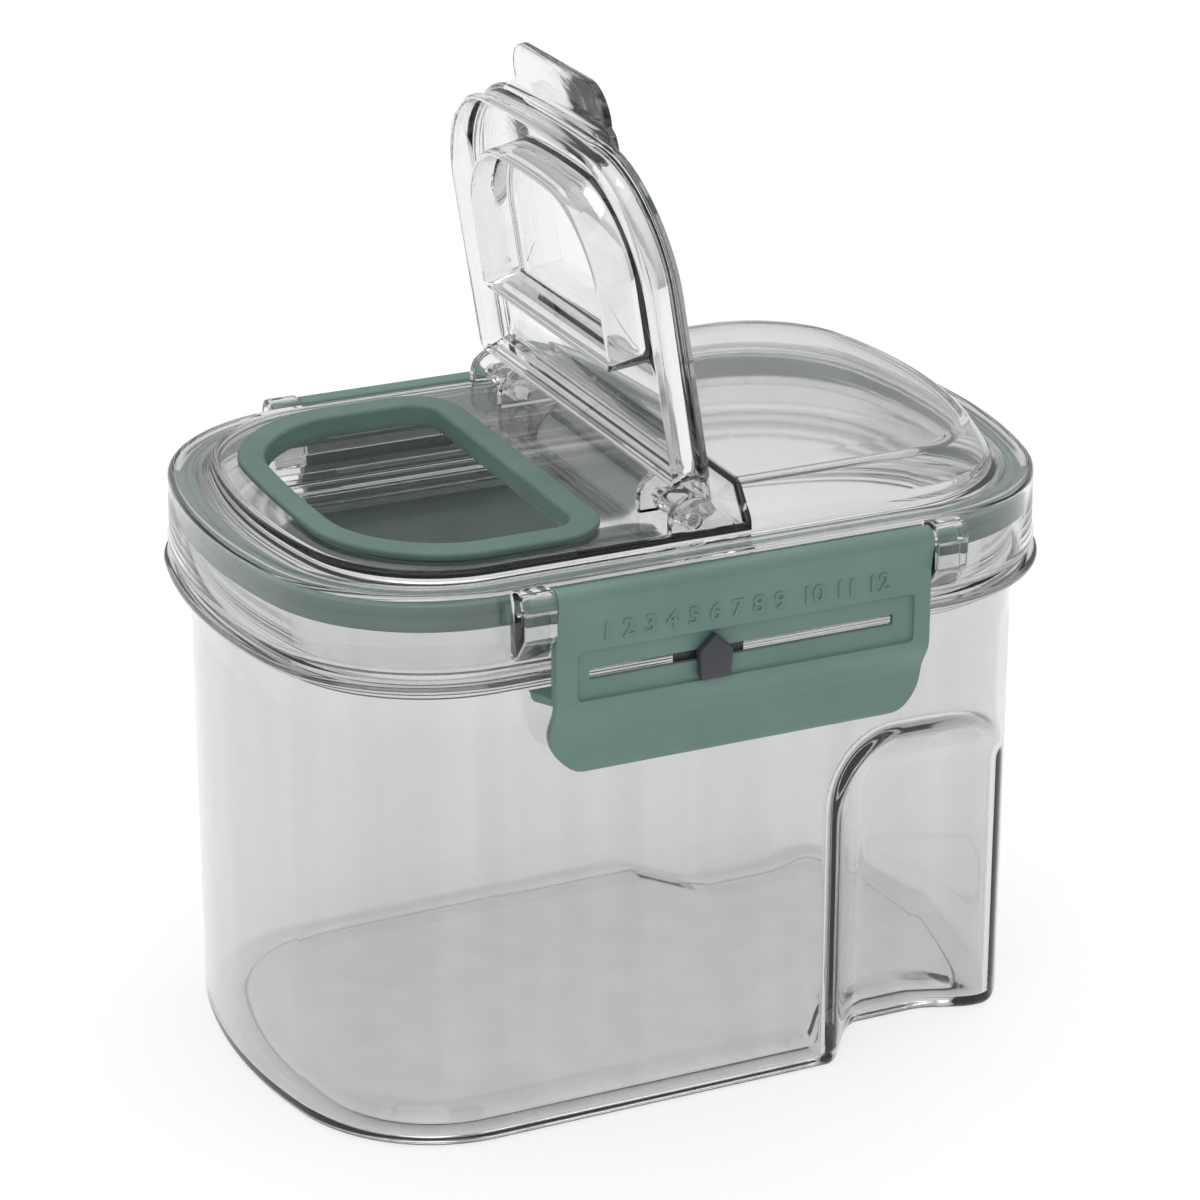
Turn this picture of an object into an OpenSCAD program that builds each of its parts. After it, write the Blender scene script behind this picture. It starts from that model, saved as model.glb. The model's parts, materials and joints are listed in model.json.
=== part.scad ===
// Clear food-powder dispenser: container, clamp-on lid with a pouring flap,
// two side latches, each carrying a sliding month marker.
// Origin: centre of the base. +X to the grip end, -Y to the front, +Z up.

/* [Container] */
// Half spacing of the corner centres along the length
core_x = 48; // [40:0.5:60]
// Half spacing of the corner centres along the width
core_y = 20.2; // [18:0.2:30]
// Corner radius of the wall's outside
body_r = 34; // [26:0.2:36]
// Wall thickness
wall = 2; // [1.6:0.1:2.6]
// Thickness of the floor
floor_t = 2.6; // [2:0.1:4]
// Height of the mouth rim
mouth_z = 115.2; // [100:0.2:130]
// Fillet around the base edge
base_fillet = 3; // [3:0.5:9]
// How far the flange stands out from the wall
flange_out = 5.2; // [4:0.1:7]
// Underside of the flange
flange_z = 101.2; // [90:0.2:110]

/* [Grip] */
// Height of the grip recess
grip_h = 74; // [50:1:80]
// Depth from the wall's face to the recess floor
grip_depth = 14.2; // [8:0.2:20]
// Radius of the recess's arched top corner
grip_r = 16; // [8:1:20]
// Where the recess starts along the length
grip_x = 31; // [20:1:40]

/* [Lid] */
// Skirt's outside radius at the corners
skirt_r = 38.3; // [36.5:0.1:40]
// Lower edge of the skirt
skirt_z = 105; // [104:0.2:108]
// Top of the lid's outer rim
rim_z = 121.4; // [120:0.2:124]
// Top of the raised plate
plate_z = 123; // [122:0.2:126]
// Height of the dome over the plate
dome_h = 8; // [4:0.5:14]

/* [Pouring flap] */
// Opening angle of the flap as shown
flap_open = 81; // [0:1:100]
// Position of the flap's hinge along the length
hinge_x = -3; // [-6:0.5:4]
// Height of the flap's hinge over the plate
hinge_up = 2.6; // [2.4:0.1:5]
// Free end of the flap when closed
flap_tip = -73; // [-75:0.5:-72.5]
// Half width of the flap
flap_hw = 48.7; // [48:0.1:49.5]
// Depth of the flap's rim
flap_t = 7.7; // [5:0.1:9]

/* [Latches] */
// Left end of the front latch
latch_x0 = -38.5; // [-44:0.5:-37]
// Right end of the front latch
latch_x1 = 43; // [42:0.5:48]
// Bottom of the latch
latch_z0 = 81.5; // [76:0.5:84]
// Radius of the latch's lower corners
latch_r = 9; // [4:0.5:12]
// Rest position of the month marker
marker_x = -5; // [-28:0.5:32]

/* [Hidden] */
$fn = 96;
big = 400;

green = [0.38, 0.48, 0.45];
clear = [0.82, 0.84, 0.86, 0.5];
dark = [0.25, 0.26, 0.28];

body_hw = core_y + body_r;
flange_r = body_r + flange_out;
flange_t = 2.6;
lid_t = 2;
gasket_h = 4.4;
seal_drop = 1.8;
seal_gap = 0.3;

// Raised plate of the lid
plate_r = 29.6;
plate_cx = 46.9;
plate_cy = 20.8;
rim_in_r = 27;
dome_x0 = 8;
dome_slope = 4.4;
top_round = 2.5;

// Pouring opening and its frame
hole_x0 = -65.6;
hole_x1 = -22.6;
hole_hw = 39;
hole_r0 = 22;
hole_r1 = 6;
frame_t = 1.7;
frame_x0 = -70.8;
frame_x1 = -16.8;
frame_hw = 45.3;
frame_r0 = 27;
frame_r1 = 12;
frame_wall = 1.5;
frame_drop = 2.9;
frame_lip = 1.2;
fit_gap = 0.3;

// Flap hinge
hinge_z = plate_z + hinge_up;
ear_y0 = 33;
ear_y1 = 35.5;
ear_y2 = 47.8;
ear_y3 = 50.3;
ear_r = 5;
pin_r = 1.6;
pin_gap = 0.08;
barrel_r = 2.3;
arm_lead = 1;
flap_plate = 1.8;
flap_top = plate_z + 0.35 + flap_t;
flap_x1 = -8.6;
flap_r = 25;
flap_wall = 1.6;
plug_x0 = -64.2;
plug_x1 = -29.5;
plug_hw = 32;
plug_r = 19;
plug_z = 120.2;
tab_out = 11;
tab_hw = 26;
tab_r = 7;
tab_rise = 1.4;

// Latch hinge and plate
latch_axis_y = -61.7;
latch_axis_z = 118.7;
latch_barrel = 2.7;
latch_out = -63.3;
latch_in = -60.5;
latch_t = 2.1;
neck_in = 3.3;
neck_top = 97.6;
neck_low = 89;
lip_flare = 0.9;
lug_w = 7;
lug_gap = 0.35;
lug_r = 3.2;
lug_z0 = 106.4;
pin_reach = 5;
panel_x0 = -34;
panel_x1 = 39.3;
panel_z0 = 97.8;
panel_z1 = 108;
panel_cut = 0.9;
pocket_cut = 0.6;
slot_x0 = -31.2;
slot_x1 = 35;
slot_z = 102.9;
slot_h = 2.2;
hook_y = -56;
hook_z0 = 96.6;
hook_z1 = 100.9;
hook_side = 3;
marker_gap = 0.1;
slot_play = 0.12;
knob_t = 2.4;
neck_hw = 2.6;
keeper_hw = 7.6;
keeper_hh = 3.4;
keeper_t = 0.5;

// Plan outline of the grip recess, from its step wall to the end corner
grip_floor = body_hw - grip_depth;
function grip_plan(g) = [
    [grip_x - g, -70],
    [grip_x - g, -body_hw + 3 + g],
    [grip_x + 3.5 - g, -grip_floor - 9 + g],
    [grip_x + 6 - g, -grip_floor - 3.5 + g],
    [grip_x + 9 - g, -grip_floor - 0.8 + g],
    [grip_x + 13, -grip_floor + g],
    [grip_x + 23, -grip_floor + g],
    [grip_x + 31, -grip_floor - 1.6 + g],
    [grip_x + 37, -grip_floor - 3.6 + g],
    [grip_x + 41, -grip_floor - 3.8 + g],
    [grip_x + 44.5 - g, -grip_floor - 2 + g],
    [grip_x + 47 - g, -grip_floor + 1.5 + g],
    [grip_x + 48.5 - g, -grip_floor + 6],
    [grip_x + 70, -grip_floor + 6],
    [grip_x + 70, -70]
];

// Plan outline with four equal round corners
module rounded(cx, cy, r) {
    square([2 * (cx + r), 2 * cy], center = true);
    square([2 * cx, 2 * (cy + r)], center = true);
    for (sx = [-1, 1], sy = [-1, 1]) translate([sx * cx, sy * cy]) circle(r);
}

// Plan outline with large corners at the left and small ones at the right
module dee(x0, x1, hw, r0, r1) {
    translate([x0 + r0, -hw]) square([x1 - r1 - x0 - r0, 2 * hw]);
    translate([x0, -(hw - r0)]) square([r0 + 1, 2 * (hw - r0)]);
    translate([x1 - r1 - 1, -(hw - r1)]) square([r1 + 1, 2 * (hw - r1)]);
    for (s = [-1, 1]) translate([x0 + r0, s * (hw - r0)]) circle(r0);
    for (s = [-1, 1]) translate([x1 - r1, s * (hw - r1)]) circle(r1);
}

module plate(z0, z1) {
    translate([0, 0, z0]) linear_extrude(z1 - z0) children();
}

// Sweeps a profile, radius across and height up, around a rounded rectangle
module around(cx, cy) {
    for (i = [0:3]) {
        a = 90 * i;
        sx = (i == 0 || i == 3) ? 1 : -1;
        sy = (i < 2) ? 1 : -1;
        translate([sx * cx, sy * cy, 0]) rotate([0, 0, a]) rotate_extrude(angle = 90) children();
    }
    for (s = [0, 180]) rotate([0, 0, s]) translate([cx, 0, 0]) rotate([90, 0, 0])
        linear_extrude(2 * cy, center = true) children();
    for (s = [90, 270]) rotate([0, 0, s]) translate([cy, 0, 0]) rotate([90, 0, 0])
        linear_extrude(2 * cx, center = true) children();
}

// Solid tub with a filleted base edge
module tub(r, z0, z1, fillet) {
    around(core_x, core_y) union() {
        translate([0, z0 + fillet]) square([r, z1 - z0 - fillet]);
        translate([0, z0]) square([r - fillet, z1 - z0]);
        translate([r - fillet, z0 + fillet]) circle(fillet);
    }
    translate([-core_x, -core_y, z0]) cube([2 * core_x, 2 * core_y, z1 - z0]);
}

// Space cut out of the wall for the fingers, on the front side
module grip_cut(g) {
    intersection() {
        plate(-1, grip_h + g) polygon(grip_plan(g));
        translate([0, 0, 0]) rotate([90, 0, 0]) linear_extrude(80) union() {
            translate([grip_x + grip_r - g, -2]) square([big, grip_h + g + 2]);
            translate([grip_x - g, -2]) square([grip_r + 1, grip_h - grip_r + g + 2]);
            translate([grip_x + grip_r - g, grip_h - grip_r + g]) circle(grip_r);
        }
    }
}

module container_body() {
    color(clear) {
        difference() {
            tub(body_r, 0, mouth_z, base_fillet);
            difference() {
                tub(body_r - wall, floor_t, mouth_z + 1, base_fillet - wall);
                grip_cut(wall);
                mirror([0, 1, 0]) grip_cut(wall);
            }
            grip_cut(0);
            mirror([0, 1, 0]) grip_cut(0);
        }
        around(core_x, core_y) union() {
            translate([body_r - 0.5, flange_z]) square([flange_out - 0.8, flange_t]);
            translate([body_r - 0.5, flange_z + 0.7]) square([flange_out - 0.3, flange_t - 1.4]);
            translate([flange_r - 1.3, flange_z + 1.3]) circle(1.3);
            translate([body_r - 0.5, flange_z - 2]) square([1.6, 2.5]);
        }
    }
}

// Solid from z0 up to the dome's top, sloping in over the raised plate
module dome_solid(drop, z0) {
    top = plate_z + dome_h - drop;
    side = plate_r - drop;
    around(plate_cx, plate_cy) union() {
        polygon([[0, z0], [side, z0], [side, plate_z], [side - dome_slope + 0.8, top - top_round],
            [side - dome_slope - 1.4, top], [0, top]]);
        translate([side - dome_slope - 1.4, top - top_round]) circle(top_round - 0.3);
    }
    translate([-plate_cx, -plate_cy, z0]) cube([2 * plate_cx, 2 * plate_cy, top - z0]);
}

module dome_half(drop, x0, z0) {
    intersection() {
        dome_solid(drop, z0);
        translate([x0, -big / 2, 0]) cube([big, big, big]);
    }
}

// One ear of the flap hinge, a rounded tongue on a wide foot
module hinge_ear(y0, y1) {
    translate([0, y1, 0]) rotate([90, 0, 0]) linear_extrude(y1 - y0) difference() {
        union() {
            translate([hinge_x, hinge_z]) circle(ear_r);
            polygon([[hinge_x - ear_r, plate_z - 1], [hinge_x - ear_r, hinge_z],
                [hinge_x + ear_r * 0.93, hinge_z + 1.8],
                [hinge_x + 9, plate_z + 0.6], [hinge_x + 9, plate_z - 1]]);
        }
        translate([hinge_x, plate_z - 1 - ear_r]) square([4 * ear_r, 2 * ear_r], center = true);
        translate([hinge_x, hinge_z]) circle(pin_r + pin_gap);
    }
}

// One lug that holds a latch pin. Its outer lower corner, on the left, is cut off.
module latch_lug() {
    difference() {
        rotate([90, 0, 90]) linear_extrude(lug_w) difference() {
            union() {
                translate([latch_axis_y, latch_axis_z]) circle(lug_r);
                polygon([[-57.6, rim_z - 0.1], [latch_axis_y, latch_axis_z + lug_r],
                    [latch_axis_y - lug_r, latch_axis_z], [latch_axis_y - lug_r, 113], [-60.2, lug_z0 + 0.6],
                    [-57.6, lug_z0]]);
            }
            translate([latch_axis_y, latch_axis_z]) circle(pin_r + pin_gap);
        }
        translate([0, -50, lug_z0]) rotate([90, 0, 0]) linear_extrude(20)
            polygon([[-1, -1], [-1, 6.1], [0, 5.2], [5, 0.4], [6, -1]]);
    }
}

module latch_lugs() {
    translate([latch_x0 - lug_gap - lug_w, 0, 0]) latch_lug();
    translate([latch_x1 + lug_gap + lug_w, 0, 0]) mirror([1, 0, 0]) latch_lug();
}

// Skirt, outer rim and the rib that centres the lid inside the mouth
module lid_rim() {
    around(core_x, core_y) union() {
        translate([skirt_r - lid_t, skirt_z]) square([lid_t, rim_z - skirt_z - 1.2]);
        translate([rim_in_r, rim_z - 1.6]) square([skirt_r - 1.2 - rim_in_r, 1.6]);
        translate([skirt_r - 1.2, rim_z - 1.2]) circle(1.2);
        translate([body_r - wall - 1.9, mouth_z - 3]) square([1.6, rim_z - mouth_z + 2]);
    }
}

// Raised plate of the pouring half, with the hole for the frame
module lid_plate() {
    plate(plate_z - lid_t, plate_z) difference() {
        intersection() {
            rounded(plate_cx, plate_cy, plate_r);
            translate([-big, -big / 2]) square([big + dome_x0 + 1, big]);
        }
        hole_plan(frame_wall + fit_gap);
    }
}

module lid_shell() {
    color(clear) {
        lid_rim();
        lid_plate();
        difference() {
            dome_half(0, dome_x0, plate_z - lid_t);
            dome_half(lid_t, dome_x0 + lid_t, plate_z - lid_t - 1);
        }
        for (s = [0, 1]) mirror([0, s, 0]) {
            hinge_ear(ear_y0, ear_y1);
            hinge_ear(ear_y2, ear_y3);
        }
        latch_lugs();
        rotate([0, 0, 180]) latch_lugs();
    }
}

module lid_gasket() {
    color(green) around(core_x, core_y) union() {
        translate([body_r - wall - 0.2, mouth_z]) square([skirt_r - lid_t - body_r + wall + 0.1, gasket_h - 0.6]);
        translate([body_r - wall + 0.6, mouth_z]) square([2.6, gasket_h]);
        translate([body_r + seal_gap, mouth_z - seal_drop])
            square([skirt_r - lid_t - body_r - 0.1 - seal_gap, seal_drop + 1]);
    }
}

// Plan of the pouring opening, grown by g
module hole_plan(g) {
    dee(hole_x0 - g, hole_x1 + g, hole_hw + g, hole_r0 + g, hole_r1 + g);
}

module opening_frame() {
    color(green) difference() {
        union() {
            plate(plate_z, plate_z + frame_t) dee(frame_x0, frame_x1, frame_hw, frame_r0, frame_r1);
            plate(plate_z - frame_drop, plate_z + 0.5) hole_plan(frame_wall);
            plate(plate_z - frame_drop, plate_z - lid_t - fit_gap) hole_plan(frame_wall + frame_lip);
        }
        plate(100, 130) hole_plan(0);
    }
}

// The flap in its closed place
module flap_closed() {
    plate(flap_top - flap_plate, flap_top) flap_plan(0);
    plate(flap_top - flap_t, flap_top - 0.5) difference() {
        flap_plan(0);
        flap_plan(flap_wall);
    }
    plate(plug_z, flap_top - 0.5) difference() {
        dee(plug_x0, plug_x1, plug_hw, plug_r, 2.5);
        dee(plug_x0 + flap_wall, plug_x1 - flap_wall, plug_hw - flap_wall, plug_r - flap_wall, 0.9);
    }
    flap_tab();
    for (s = [0, 1]) mirror([0, s, 0]) flap_knuckle();
}

// Plan of the flap, shrunk by g
module flap_plan(g) {
    dee(flap_tip + g, flap_x1 - g, flap_hw - g, flap_r - g, 3 - g);
}

// Finger tab, which rises a little past the flap's edge
module flap_tab() {
    end = flap_tip - tab_out;
    side_hw = tab_hw - 4;
    intersection() {
        plate(flap_top - 4, flap_top + 4) union() {
            translate([end + tab_r, -side_hw]) square([tab_out, 2 * side_hw]);
            translate([end, -side_hw + tab_r]) square([tab_out, 2 * (side_hw - tab_r)]);
            for (s = [-1, 1]) translate([end + tab_r, s * (side_hw - tab_r)]) circle(tab_r);
            polygon([[flap_tip - 3, side_hw], [flap_tip, tab_hw], [flap_tip + 5, tab_hw],
                [flap_tip + 5, -tab_hw], [flap_tip, -tab_hw], [flap_tip - 3, -side_hw]]);
        }
        translate([0, tab_hw + 1, 0]) rotate([90, 0, 0]) linear_extrude(2 * tab_hw + 2)
            polygon([[flap_tip + 5, flap_top - flap_plate], [flap_tip + 5, flap_top],
                [flap_tip + 1, flap_top], [flap_tip - 2, flap_top + tab_rise], [end - 1, flap_top + tab_rise],
                [end - 1, flap_top + tab_rise - 1.7], [flap_tip - 2, flap_top + tab_rise - 1.7],
                [flap_tip + 1, flap_top - flap_plate]]);
    }
}

// Barrel, arm and pin at one end of the flap's hinge edge
module flap_knuckle() {
    translate([0, ear_y2 - fit_gap, 0]) rotate([90, 0, 0])
        linear_extrude(ear_y2 - ear_y1 - 2 * fit_gap) union() {
            translate([hinge_x, hinge_z]) circle(barrel_r);
            translate([hinge_x - barrel_r, hinge_z]) square([barrel_r + arm_lead, flap_top - hinge_z - 1.2]);
            translate([hinge_x + arm_lead - 1.2, flap_top - 1.2]) circle(1.2);
            translate([flap_x1 - 1, flap_top - flap_plate])
                square([hinge_x + arm_lead - 0.2 - flap_x1, flap_plate]);
        }
    translate([hinge_x, ear_y3 - fit_gap, hinge_z]) rotate([90, 0, 0])
        cylinder(h = ear_y3 - ear_y0 - 2 * fit_gap, r = pin_r);
}

module flip_cover() {
    color(clear) translate([hinge_x, 0, hinge_z]) rotate([0, flap_open, 0])
        translate([-hinge_x, 0, -hinge_z]) flap_closed();
}

// Face outline of a latch, seen from outside
module latch_face() {
    translate([latch_x0, latch_z0 + latch_r])
        square([latch_x1 - latch_x0, latch_axis_z + latch_barrel - latch_z0 - latch_r]);
    translate([latch_x0 + latch_r, latch_z0]) square([latch_x1 - latch_x0 - 2 * latch_r, latch_r + 1]);
    for (x = [latch_x0 + latch_r, latch_x1 - latch_r]) translate([x, latch_z0 + latch_r]) circle(latch_r);
}

// How far the latch's plate has moved in at height z: a neck, then a lip that flares out again
function neck_shift(z) =
    neck_in * (1 - cos(180 * min(1, max(0, (neck_top - z) / (neck_top - neck_low))))) / 2
    - lip_flare * pow(max(0, (neck_low - z) / (neck_low - latch_z0)), 2);

// Section of a latch: barrel on top, flat plate, hollow neck and flared lip
module latch_section() {
    heights = [for (k = [0:17]) neck_top - k * (neck_top - latch_z0 + 1) / 17];
    polygon(concat(
        [[latch_in, latch_axis_z], [latch_out, latch_axis_z]],
        [for (z = heights) [latch_out + neck_shift(z), z]],
        [for (k = [17:-1:1]) [latch_out + latch_t + neck_shift(heights[k]), heights[k]]],
        [[latch_in, neck_top - 0.6]]));
    translate([latch_axis_y, latch_axis_z]) circle(latch_barrel);
}

// Hook that catches under the container's flange, a little wider at its inner edge
module latch_hook() {
    intersection() {
        translate([latch_x0 - hook_side, 0, 0]) rotate([90, 0, 90])
            linear_extrude(latch_x1 - latch_x0 + 2 * hook_side)
                polygon([[latch_in - 0.4, hook_z0], [latch_in - 0.4, hook_z1 - 2.8], [latch_in, hook_z1 - 2.8],
                    [hook_y + 0.6, hook_z1 - 2.2], [hook_y, hook_z1 - 2.8], [hook_y, hook_z0 + 0.6],
                    [hook_y - 0.8, hook_z0]]);
        plate(hook_z0 - 1, hook_z1 + 1)
            polygon([[latch_x0 + 0.2, latch_in - 1], [latch_x0 + 0.2, latch_in], [latch_x0 - hook_side, hook_y + 1],
                [latch_x1 + hook_side, hook_y + 1], [latch_x1 - 0.2, latch_in], [latch_x1 - 0.2, latch_in - 1]]);
    }
}

module latch() {
    difference() {
        intersection() {
            translate([latch_x0 - 1, 0, 0]) rotate([90, 0, 90])
                linear_extrude(latch_x1 - latch_x0 + 2) latch_section();
            translate([0, -50, 0]) rotate([90, 0, 0]) linear_extrude(30) latch_face();
        }
        translate([panel_x0, latch_out - 1, panel_z0])
            cube([panel_x1 - panel_x0, panel_cut + 1, panel_z1 - panel_z0]);
        translate([slot_x0 - 6, latch_in - pocket_cut, slot_z - 4])
            cube([slot_x1 - slot_x0 + 12, pocket_cut + 1, 8]);
        translate([slot_x0, latch_out - 1, slot_z - slot_h / 2])
            cube([slot_x1 - slot_x0, 6, slot_h]);
    }
    latch_hook();
    translate([latch_x0 - lug_gap - pin_reach, latch_axis_y, latch_axis_z]) rotate([0, 90, 0])
        cylinder(h = latch_x1 - latch_x0 + 2 * lug_gap + 2 * pin_reach, r = pin_r);
}

module front_latch() {
    color(green) latch();
}

module back_latch() {
    color(green) rotate([0, 0, 180]) latch();
}

// Five-sided pointer with a neck that runs in the slot
module marker_knob() {
    face = latch_out + panel_cut - marker_gap;
    back = latch_in - pocket_cut + marker_gap;
    translate([marker_x, face, slot_z]) rotate([90, 0, 0]) linear_extrude(knob_t)
        polygon([[-3.2, -4.7], [3.2, -4.7], [3.7, 1.2], [0, 4.7], [-3.7, 1.2]]);
    translate([marker_x - neck_hw, face, slot_z - slot_h / 2 + slot_play])
        cube([2 * neck_hw, back - face, slot_h - 2 * slot_play]);
}

// Thin plate behind the slot that keeps the pointer in place
module marker_keeper() {
    translate([marker_x - keeper_hw, latch_in - pocket_cut + marker_gap, slot_z - keeper_hh])
        cube([2 * keeper_hw, keeper_t, 2 * keeper_hh]);
}

module front_marker_knob() {
    color(dark) marker_knob();
}

module front_marker_keeper() {
    color(dark) marker_keeper();
}

module back_marker_knob() {
    color(dark) rotate([0, 0, 180]) marker_knob();
}

module back_marker_keeper() {
    color(dark) rotate([0, 0, 180]) marker_keeper();
}

container_body();
lid_shell();
lid_gasket();
opening_frame();
flip_cover();
front_latch();
back_latch();
front_marker_knob();
front_marker_keeper();
back_marker_knob();
back_marker_keeper();
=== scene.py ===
"""Formula dispenser: clear clamp-lid tub with a pouring flap, two latches and month markers."""

import json
import math

import bmesh
import bpy
import numpy as np
from mathutils import Matrix, Vector


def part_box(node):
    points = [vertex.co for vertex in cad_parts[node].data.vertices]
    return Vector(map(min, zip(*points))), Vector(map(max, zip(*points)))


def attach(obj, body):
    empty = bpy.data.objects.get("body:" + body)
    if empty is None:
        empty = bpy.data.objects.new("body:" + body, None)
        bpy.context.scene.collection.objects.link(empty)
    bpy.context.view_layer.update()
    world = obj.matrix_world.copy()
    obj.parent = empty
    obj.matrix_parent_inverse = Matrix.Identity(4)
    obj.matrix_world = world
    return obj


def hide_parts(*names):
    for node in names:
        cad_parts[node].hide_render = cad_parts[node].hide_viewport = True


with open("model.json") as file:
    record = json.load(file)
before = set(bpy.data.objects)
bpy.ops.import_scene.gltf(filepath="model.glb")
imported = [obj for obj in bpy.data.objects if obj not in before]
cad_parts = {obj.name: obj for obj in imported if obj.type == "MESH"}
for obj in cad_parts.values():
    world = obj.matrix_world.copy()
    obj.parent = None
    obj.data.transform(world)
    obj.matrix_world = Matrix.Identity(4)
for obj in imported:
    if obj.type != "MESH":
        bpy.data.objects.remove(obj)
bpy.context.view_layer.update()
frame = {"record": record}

MM = 0.001

# ---------------------------------------------------------------- sizes, in millimetres, read off the frame


def box_mm(node):
    """Low and high corners of a node's box, in millimetres."""
    low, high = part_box(node)
    return np.array(low) / MM, np.array(high) / MM


body_hi = box_mm("container_body")[1]
lid_hi = box_mm("lid_shell")[1]
gasket_lo, gasket_hi = box_mm("lid_gasket")
ring_lo, ring_hi = box_mm("opening_frame")
front_lo = box_mm("front_latch")[0]
JOINTS = {j["name"]: j for j in frame["record"]["behaviour"]["joints"]}
hinge = np.array(JOINTS["flap_hinge"]["pos_m"]) / MM
FLAP_OPEN = math.radians(-JOINTS["flap_hinge"]["range_deg"][0])

CORE_X, CORE_Y = 48.0, 20.2
BOW_SET_BACK = 0.8
END_X = CORE_X - BOW_SET_BACK
FLANGE_R = body_hi[0] - CORE_X
FLANGE_OUT = 5.2
BODY_R = FLANGE_R - FLANGE_OUT
WALL = 2.0
FLOOR = 2.6
MOUTH_Z = body_hi[2]
FLANGE_Z = 101.2
BODY_HW = CORE_Y + BODY_R

SKIRT_R = lid_hi[0] - CORE_X
SKIRT_Z = 105.0
RIM_Z = 121.4
PLATE_Z = 123.0
PLATE_CX, PLATE_CY, PLATE_R = 46.9, 20.8, 29.6
PLATE_END_X = PLATE_CX - BOW_SET_BACK
DOME_Z = lid_hi[2]
DOME_X = 8.0
DOME_CURVE = 3.0
DOME_EASE, DOME_SHOULDER = 0.25, 4.0


# ---------------------------------------------------------------- mesh tools


def arc(cx, cy, r, a0, a1, n):
    """Points of an arc, angles in degrees, both ends included."""
    a = np.radians(np.linspace(a0, a1, n))
    return [(cx + r * math.cos(t), cy + r * math.sin(t)) for t in a]


def new_object(name, verts, faces, smooth=40):
    """An object from points in millimetres, cleaned and shaded."""
    mesh = bpy.data.meshes.new(name)
    mesh.from_pydata([tuple(np.asarray(v, float) * MM) for v in verts], [], [tuple(f) for f in faces])
    mesh.validate()
    obj = bpy.data.objects.new(name, mesh)
    bpy.context.scene.collection.objects.link(obj)
    tidy_mesh(obj, smooth)
    return obj


def tidy_mesh(obj, smooth=40):
    """Outward normals, and smooth shading up to an angle."""
    bm = bmesh.new()
    bm.from_mesh(obj.data)
    bmesh.ops.remove_doubles(bm, verts=bm.verts, dist=0.004 * MM)
    bmesh.ops.recalc_face_normals(bm, faces=bm.faces)
    bm.to_mesh(obj.data)
    bm.free()
    obj.data.shade_smooth()
    obj.data.set_sharp_from_angle(angle=math.radians(smooth))
    return obj


def skin(name, rings, closed=False, smooth=40):
    """Joins rings of equal length by quads. An open row of rings is capped at both ends."""
    n = len(rings[0])
    verts = [p for ring in rings for p in ring]
    faces = []
    count = len(rings)
    for k in range(count if closed else count - 1):
        a, b = k * n, ((k + 1) % count) * n
        for i in range(n):
            j = (i + 1) % n
            faces.append((a + i, a + j, b + j, b + i))
    if not closed:
        faces.append(tuple(range(n))[::-1])
        faces.append(tuple(range((count - 1) * n, count * n)))
    return new_object(name, verts, faces, smooth)


def prism(name, points, low, high, axis="z", smooth=40):
    """Extrudes a closed outline along an axis: x takes (y, z) points, y takes (x, z), z takes (x, y)."""
    def put(p, t):
        u, v = p
        return {"x": (t, u, v), "y": (u, t, v), "z": (u, v, t)}[axis]
    n = len(points)
    verts = [put(p, low) for p in points] + [put(p, high) for p in points]
    faces = [tuple(range(n))[::-1], tuple(range(n, 2 * n))]
    for i in range(n):
        j = (i + 1) % n
        faces.append((i, j, n + j, n + i))
    return new_object(name, verts, faces, smooth)


def combine(target, other, operation, smooth=40):
    """Boolean of two closed meshes, left in target. The other is deleted."""
    mod = target.modifiers.new("join", "BOOLEAN")
    mod.operation = operation
    mod.solver = "EXACT"
    mod.object = other
    bake(target)
    bpy.data.objects.remove(other, do_unlink=True)
    tidy_mesh(target, smooth)
    return target


def bake(obj):
    """Applies the modifiers of an object to its mesh."""
    graph = bpy.context.evaluated_depsgraph_get()
    mesh = bpy.data.meshes.new_from_object(obj.evaluated_get(graph), depsgraph=graph)
    obj.modifiers.clear()
    old = obj.data
    obj.data = mesh
    bpy.data.meshes.remove(old)


def soften(obj, width, segments=2, angle=35):
    """Rounds every sharp edge of a finished mesh."""
    mod = obj.modifiers.new("soft", "BEVEL")
    mod.width = width * MM
    mod.segments = segments
    mod.limit_method = "ANGLE"
    mod.angle_limit = math.radians(angle)
    mod.use_clamp_overlap = True
    mod.harden_normals = False
    bake(obj)
    obj.data.shade_smooth()
    obj.data.set_sharp_from_angle(angle=math.radians(50))
    return obj


def transform(obj, matrix):
    """Moves an object's mesh and hands the object back."""
    obj.data.transform(matrix)
    return obj


# ---------------------------------------------------------------- plan outlines


END_SWEEP = 14.0
PLAN_STEPS = dict(corner=40, sides=(60, 30))
TUB_STEPS = dict(corner=40, sides=(150, 20))


def rounded_frame(cx, cy, corner, sides):
    """Centres and directions that give a rounded plan with bowed ends: centre + r * direction.

    corner is the number of points round a corner. sides has those along a long side and an end.
    """
    reach = cy / math.sin(math.radians(END_SWEEP))
    hub = cx + cy * math.tan(math.radians(END_SWEEP / 2)) - reach
    rows = []
    for side in (0, 180):
        turn = math.radians(side)
        flip = math.cos(turn)

        def corner_row(x, y, a):
            t = math.radians(a)
            rows.append((flip * x, flip * y, flip * math.cos(t), flip * math.sin(t)))

        for a in np.linspace(-END_SWEEP, END_SWEEP, sides[1])[:-1]:
            t = math.radians(a)
            corner_row(hub + reach * math.cos(t), reach * math.sin(t), a)
        for a in np.linspace(END_SWEEP, 90, corner):
            corner_row(cx, cy, a)
        for f in np.linspace(1, -1, sides[0] + 1)[1:-1]:
            corner_row(cx * f, cy, 90)
        for a in np.linspace(90, 180 - END_SWEEP, corner)[:-1]:
            corner_row(-cx, cy, a)
    return np.array(rows)


def ring_at(plan, r, z):
    """One ring of a rounded plan with corner radius r at height z."""
    xy = plan[:, :2] + r * plan[:, 2:]
    return np.column_stack([xy, np.full(len(xy), z)])


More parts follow.
